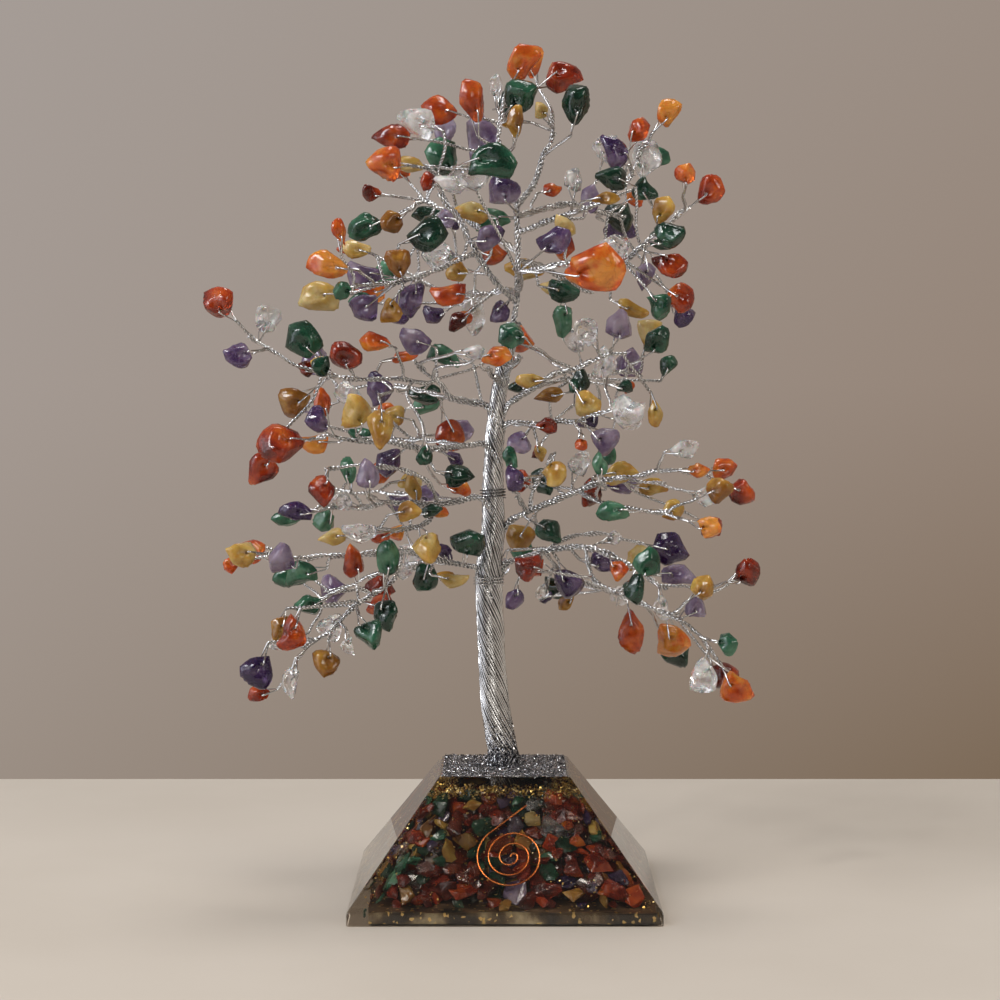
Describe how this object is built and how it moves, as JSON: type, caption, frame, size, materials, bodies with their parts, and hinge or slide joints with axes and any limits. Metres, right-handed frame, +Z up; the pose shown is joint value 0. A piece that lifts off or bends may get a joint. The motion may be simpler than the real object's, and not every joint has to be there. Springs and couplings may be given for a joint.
{
  "type": "gemstone tree ornament",
  "caption": "Gemstone tree: drilled tumbled stones on twisted silver-coloured wire boughs, rising from a clear resin base with stones cast in it.",
  "frame": {"origin": "centre of the resin base's underside, on the surface that the ornament stands on", "axes": "+Z up along the trunk, -Y towards the front face with the copper spiral, +X to the right seen from the front"},
  "size_m": [0.1785, 0.1119, 0.2737],
  "materials": {
    "carnelian": "tumbled carnelian, orange to dark red, translucent at its thin edges",
    "yellow_jasper": "tumbled yellow jasper, ochre with browner patches",
    "green_aventurine": "tumbled green aventurine, dark green with fine mica specks",
    "amethyst": "tumbled amethyst, purple to pale violet, translucent",
    "clear_quartz": "tumbled clear quartz, colourless with white veils",
    "silver_wire": "bright silver-coloured craft wire",
    "clear_resin": "clear cast resin, polished",
    "brass_flake": "thin bright flakes",
    "copper": "bright bare copper wire",
    "glitter": "coarse silver glitter set in clear glue"
  },
  "bodies": {
    "tree": {"brass_flakes": "brass_flake", "cast_amethyst": "amethyst", "cast_carnelian": "carnelian", "cast_clear_quartz": "clear_quartz", "cast_green_aventurine": "green_aventurine", "cast_yellow_jasper": "yellow_jasper", "copper_spiral": "copper", "glitter_bed": "glitter", "glitter_collar": "glitter", "lower_binding": "silver_wire", "lower_trunk": "silver_wire", "mid_left_amethyst": "amethyst", "mid_left_carnelian": "carnelian", "mid_left_clear_quartz": "clear_quartz", "mid_left_green_aventurine": "green_aventurine", "mid_left_wires": "silver_wire", "mid_left_yellow_jasper": "yellow_jasper", "mid_right_amethyst": "amethyst", "mid_right_carnelian": "carnelian", "mid_right_clear_quartz": "clear_quartz", "mid_right_green_aventurine": "green_aventurine", "mid_right_wires": "silver_wire", "mid_right_yellow_jasper": "yellow_jasper", "middle_binding": "silver_wire", "middle_trunk": "silver_wire", "resin_base": "clear_resin", "top_amethyst": "amethyst", "top_carnelian": "carnelian", "top_clear_quartz": "clear_quartz", "top_green_aventurine": "green_aventurine", "top_wires": "silver_wire", "top_yellow_jasper": "yellow_jasper", "upper_binding": "silver_wire", "upper_left_amethyst": "amethyst", "upper_left_carnelian": "carnelian", "upper_left_clear_quartz": "clear_quartz", "upper_left_green_aventurine": "green_aventurine", "upper_left_wires": "silver_wire", "upper_left_yellow_jasper": "yellow_jasper", "upper_right_amethyst": "amethyst", "upper_right_carnelian": "carnelian", "upper_right_clear_quartz": "clear_quartz", "upper_right_green_aventurine": "green_aventurine", "upper_right_wires": "silver_wire", "upper_right_yellow_jasper": "yellow_jasper", "upper_trunk": "silver_wire"},
    "lower_left_bough": {"lower_left_amethyst": "amethyst", "lower_left_carnelian": "carnelian", "lower_left_clear_quartz": "clear_quartz", "lower_left_green_aventurine": "green_aventurine", "lower_left_wires": "silver_wire", "lower_left_yellow_jasper": "yellow_jasper"},
    "lower_right_bough": {"lower_right_amethyst": "amethyst", "lower_right_carnelian": "carnelian", "lower_right_clear_quartz": "clear_quartz", "lower_right_green_aventurine": "green_aventurine", "lower_right_wires": "silver_wire", "lower_right_yellow_jasper": "yellow_jasper"}
  },
  "joints": [
    {"name": "lower_left_bend", "type": "hinge", "parent": "tree", "child": "lower_left_bough", "pos_m": [-0.00886, 0, 0.10599], "axis": [0, -1, 0], "range_deg": [0, 12]},
    {"name": "lower_right_bend", "type": "hinge", "parent": "tree", "child": "lower_right_bough", "pos_m": [-0.00116, 0, 0.10599], "axis": [0, 1, 0], "range_deg": [0, 12]}
  ]
}
